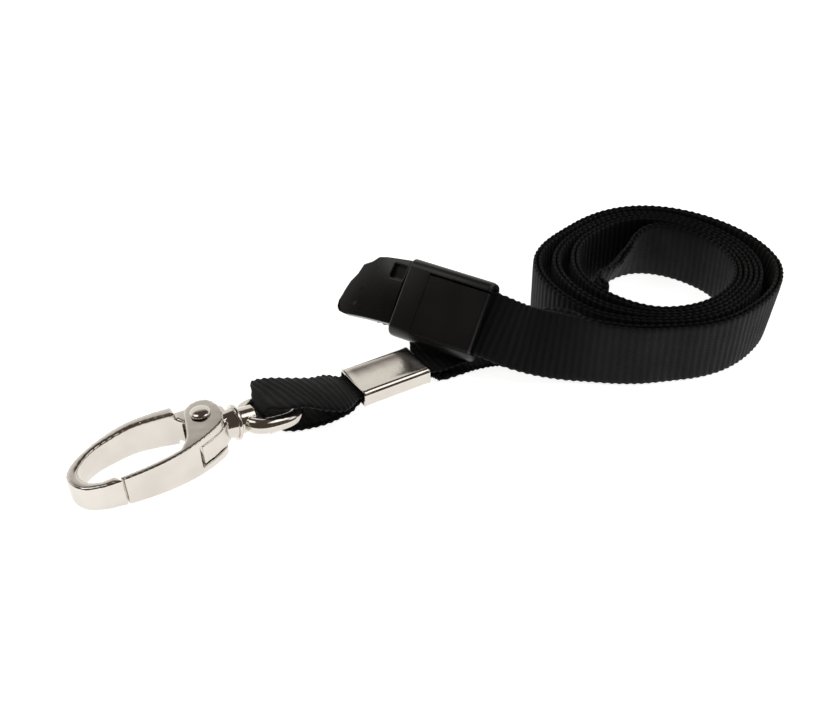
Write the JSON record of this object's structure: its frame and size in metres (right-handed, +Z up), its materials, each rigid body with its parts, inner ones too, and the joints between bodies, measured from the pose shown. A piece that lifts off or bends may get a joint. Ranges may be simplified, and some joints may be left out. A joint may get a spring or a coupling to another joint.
{
  "type": "lanyard",
  "caption": "Neck lanyard wound into a flat coil: ribbed webbing strap, breakaway buckle, crimp ferrule and a swivelling oval clip with a sprung gate.",
  "frame": {"origin": "middle of the bounding box, at the table", "axes": "+Z up from the table, +X from the clip towards the coil, +Y away from the viewer of the laid-out lanyard"},
  "size_m": [0.153, 0.097, 0.0193],
  "materials": {
    "nickel": "polished nickel plating, slightly warm",
    "spring_steel": "drawn wire",
    "black_plastic": "satin moulded",
    "webbing": "matt woven, cross-ribbed"
  },
  "bodies": {
    "strap": {"strap_front_run": "webbing", "strap_back_run": "webbing", "strap_coil": "webbing", "strap_clip_loop": "webbing", "strap_tail": "webbing", "ferrule": "nickel", "buckle_socket": "black_plastic", "socket_clamp_flap": "black_plastic", "swivel_eye": "nickel"},
    "clip": {"clip_body": "nickel", "gate_rivet": "nickel", "gate_spring": "spring_steel", "swivel_washer": "nickel"},
    "gate": {"clip_gate": "nickel"},
    "tongue": {"buckle_tongue": "black_plastic", "tongue_clamp_flap": "black_plastic"}
  },
  "joints": [
    {"name": "clip_swivel", "type": "hinge", "parent": "strap", "child": "clip", "pos_m": [-0.04594, -0.02649, 0.00487], "axis": [0.8639, 0.4988, -0.0698], "continuous": true},
    {"name": "gate_hinge", "type": "hinge", "parent": "clip", "child": "gate", "pos_m": [-0.0513, -0.02819, 0.00457], "axis": [0.0476, 0.0275, -0.9985], "range_deg": [0, 24], "stiffness_Nm_per_rad": 0.02, "springref_deg": -17.19},
    {"name": "tongue_release", "type": "slide", "parent": "strap", "child": "tongue", "axis": [-0.8634, 0.5045, 0], "range_m": [0, 0.012]}
  ]
}
